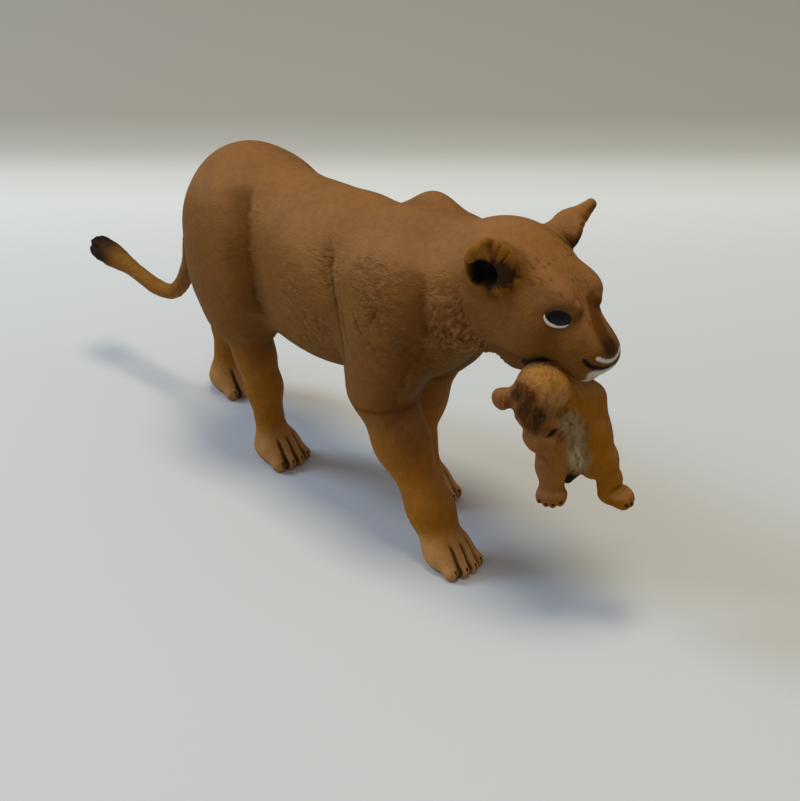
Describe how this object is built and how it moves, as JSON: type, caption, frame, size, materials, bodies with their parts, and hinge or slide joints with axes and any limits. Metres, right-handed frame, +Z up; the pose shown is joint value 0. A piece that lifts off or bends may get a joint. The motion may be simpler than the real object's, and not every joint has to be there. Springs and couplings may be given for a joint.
{
  "type": "animal figurine",
  "caption": "Moulded vinyl figurine of a walking lioness that carries her cub by the scruff, hand-painted, standing on its four paws.",
  "frame": {"origin": "middle of the figure's bounding box in X and Y, on the level of its soles", "axes": "+X forwards along the body, from tail to nose; +Y to the lioness's left; +Z up"},
  "size_m": [0.1436, 0.031, 0.0676],
  "materials": {
    "lioness_paint": "tan vinyl, painted by hand with a darker wash in the recesses",
    "cub_paint": "orange tan vinyl, painted by hand with a dark brown wash on the face"
  },
  "bodies": {
    "root": {"torso": "lioness_paint", "head": "lioness_paint", "right_foreleg": "lioness_paint", "left_foreleg": "lioness_paint", "right_hind_leg": "lioness_paint", "left_hind_leg": "lioness_paint", "tail": "lioness_paint", "cub": "cub_paint"}
  },
  "joints": []
}
